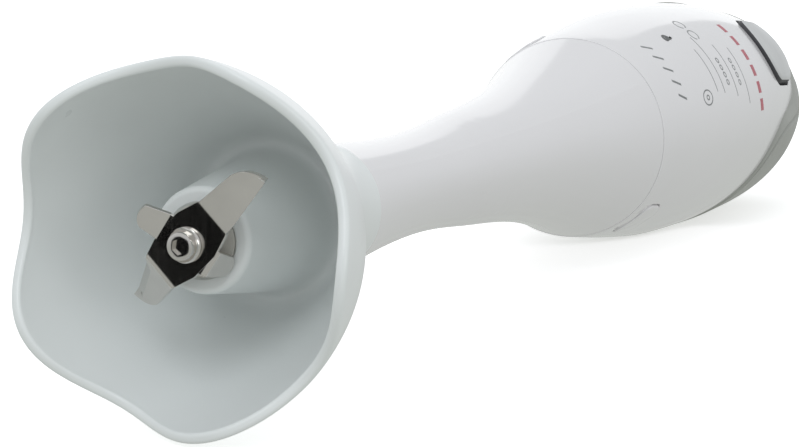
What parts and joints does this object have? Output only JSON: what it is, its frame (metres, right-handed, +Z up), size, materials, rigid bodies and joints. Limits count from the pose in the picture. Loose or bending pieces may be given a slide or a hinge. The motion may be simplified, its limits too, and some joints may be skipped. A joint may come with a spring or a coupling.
{
  "type": "immersion blender",
  "caption": "Hand-held immersion blender lying on its side: bell-shaped guard with a waved rim over a bent-wing blade, slim plug-on foot, swelling handle with a grey back grip.",
  "frame": {"origin": "centre of the object's footprint on the surface that it lies on", "axes": "+Z up, +Y along the tool's axis from the bell to the end of the handle, +X to the right of someone who looks into the bell's mouth along +Y; the power button faces up and to +X"},
  "size_m": [0.0644, 0.392, 0.0649],
  "materials": {
    "white_plastic": "glossy white moulded plastic",
    "grey_grip": "soft-touch grey",
    "dark_plastic": "moulded dark grey",
    "black_rubber": "soft black rubber",
    "blade_steel": "polished stainless steel",
    "shaft_steel": "ground steel",
    "bush_bronze": "sintered bronze",
    "liner_plastic": "natural acetal",
    "laminated_steel": "stamped laminations",
    "copper_winding": "enamelled copper",
    "carbon": "pressed carbon",
    "board_green": "glass-fibre board",
    "capacitor_case": "potted film capacitor"
  },
  "bodies": {
    "motor_unit": {"back_grip": "grey_grip", "brush_holder_left": "bush_bronze", "brush_holder_right": "bush_bronze", "brush_spring_left": "shaft_steel", "brush_spring_right": "shaft_steel", "button_seal": "black_rubber", "capacitor": "capacitor_case", "carbon_brush_left": "carbon", "carbon_brush_right": "carbon", "circuit_board": "board_green", "clamp_screws": "shaft_steel", "cord_clamp": "dark_plastic", "end_cap": "grey_grip", "field_coil_back": "copper_winding", "field_coil_front": "copper_winding", "front_bearing": "shaft_steel", "front_bracket": "dark_plastic", "front_damper": "black_rubber", "micro_switch": "dark_plastic", "motor_housing": "white_plastic", "motor_screws": "shaft_steel", "power_button_spring": "shaft_steel", "rear_bearing": "shaft_steel", "rear_bracket": "dark_plastic", "rear_damper": "black_rubber", "release_spring_left": "shaft_steel", "release_spring_right": "shaft_steel", "socket_ring": "dark_plastic", "stator_core": "laminated_steel"},
    "mixing_foot": {"bell_guard": "white_plastic", "foot_tube": "white_plastic", "foot_cap": "dark_plastic", "shaft_sleeve": "liner_plastic", "seal_washer": "shaft_steel", "shaft_seal": "black_rubber", "lower_bush": "bush_bronze", "middle_bush": "bush_bronze", "upper_bush": "bush_bronze"},
    "drive_line": {"drive_shaft": "shaft_steel", "retaining_ring": "shaft_steel", "blade_spacer": "blade_steel", "thrust_washer": "shaft_steel", "blade": "blade_steel", "blade_nut": "blade_steel", "foot_coupling": "liner_plastic"},
    "rotor": {"motor_shaft": "shaft_steel", "armature_core": "laminated_steel", "armature_windings": "copper_winding", "commutator": "copper_winding", "cooling_fan": "dark_plastic", "motor_coupling": "liner_plastic"},
    "power_button": {"power_button": "grey_grip"},
    "switch_plunger": {"switch_plunger": "liner_plastic"},
    "release_button_left": {"release_button_left": "white_plastic"},
    "release_button_right": {"release_button_right": "white_plastic"}
  },
  "joints": [
    {"name": "foot_detach", "type": "slide", "parent": "motor_unit", "child": "mixing_foot", "axis": [0, -1, 0], "range_m": [0, 0.045]},
    {"name": "blade_spin", "type": "hinge", "parent": "mixing_foot", "child": "drive_line", "pos_m": [0, -0.096, 0.03246], "axis": [0, 1, 0], "continuous": true},
    {"name": "rotor_spin", "type": "hinge", "parent": "motor_unit", "child": "rotor", "pos_m": [0, 0.084, 0.03246], "axis": [0, 1, 0], "continuous": true},
    {"name": "power_button_press", "type": "slide", "parent": "motor_unit", "child": "power_button", "axis": [-0.809, 0, -0.5878], "range_m": [0, 0.0015], "stiffness_N_per_m": 1500, "deforming": ["power_button_spring"]},
    {"name": "switch_plunger_press", "type": "slide", "parent": "motor_unit", "child": "switch_plunger", "axis": [-0.809, 0, -0.5878], "range_m": [0, 0.0015]},
    {"name": "release_left_press", "type": "slide", "parent": "motor_unit", "child": "release_button_left", "axis": [-0.5878, 0, 0.809], "range_m": [0, 0.0009], "stiffness_N_per_m": 2000, "deforming": ["release_spring_left"]},
    {"name": "release_right_press", "type": "slide", "parent": "motor_unit", "child": "release_button_right", "axis": [0.5878, 0, -0.809], "range_m": [0, 0.0009], "stiffness_N_per_m": 2000, "deforming": ["release_spring_right"]}
  ],
  "couplings": [
    {"joint": "blade_spin", "follows": "rotor_spin", "ratio": 1},
    {"joint": "switch_plunger_press", "follows": "power_button_press", "ratio": 1}
  ]
}
